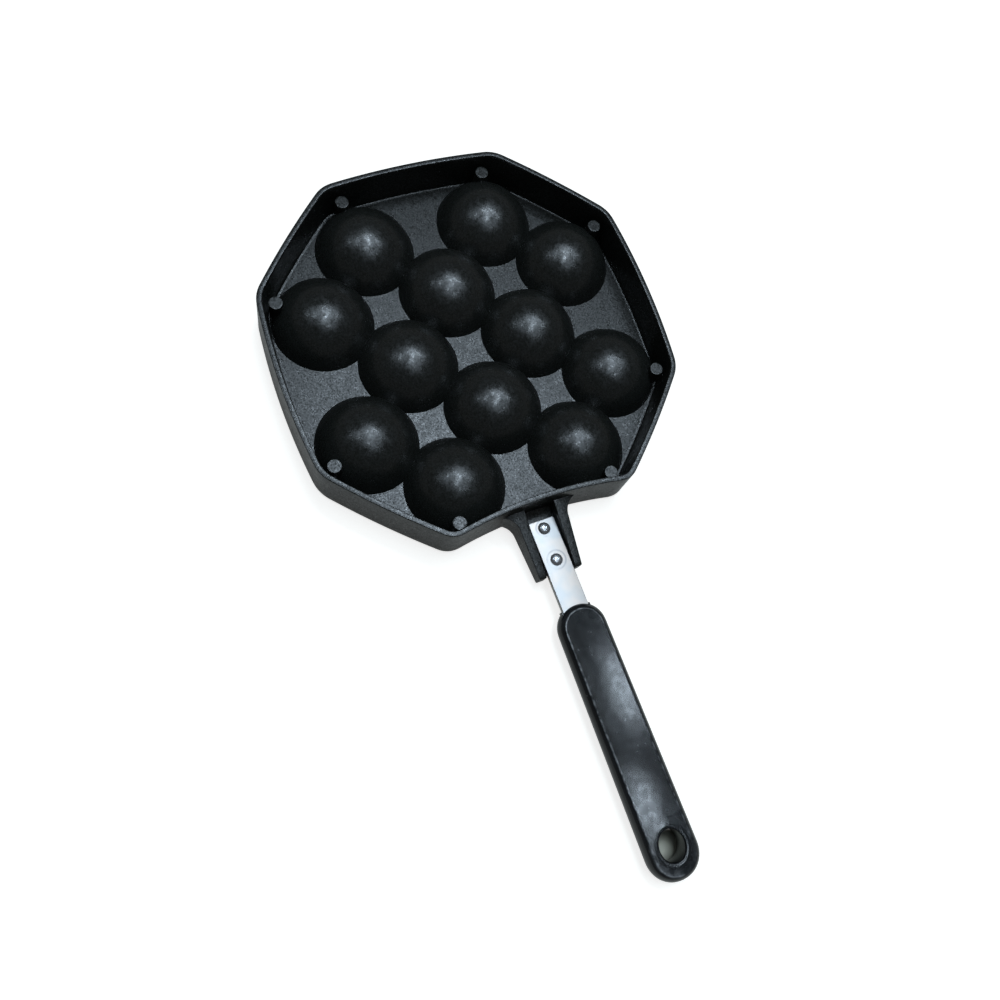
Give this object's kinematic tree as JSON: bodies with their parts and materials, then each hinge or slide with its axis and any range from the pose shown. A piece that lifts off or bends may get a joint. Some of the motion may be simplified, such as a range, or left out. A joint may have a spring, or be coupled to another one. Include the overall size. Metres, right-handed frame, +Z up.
{
  "type": "takoyaki pan",
  "caption": "Octagonal cast takoyaki pan with a lattice of half-round cups, a deep skirt, a riveted flat strap and a moulded grip with a hang hole.",
  "frame": {"origin": "middle of the part's box at its base: the table that the pan lies on, cooking side down, as pictured", "axes": "+X out along the handle, +Z up from the cooking side to the skirt's rim; in use the pan is turned over and stands on that rim"},
  "size_m": [0.3436, 0.1812, 0.0243],
  "materials": {
    "casting_coating": "matte",
    "strap_metal": "satin",
    "rivet_metal": "polished",
    "grip_plastic": "gloss"
  },
  "bodies": {
    "root": {"skirt_and_lug": "casting_coating", "cup_01": "casting_coating", "cup_02": "casting_coating", "cup_03": "casting_coating", "cup_04": "casting_coating", "cup_05": "casting_coating", "cup_06": "casting_coating", "cup_07": "casting_coating", "cup_08": "casting_coating", "cup_09": "casting_coating", "cup_10": "casting_coating", "cup_11": "casting_coating", "cup_12": "casting_coating", "plate_corner_handle": "casting_coating", "plate_corner_far": "casting_coating", "plate_corner_left": "casting_coating", "plate_corner_right": "casting_coating", "strap": "strap_metal", "rivet_1": "rivet_metal", "rivet_2": "rivet_metal", "grip": "grip_plastic"}
  },
  "joints": []
}
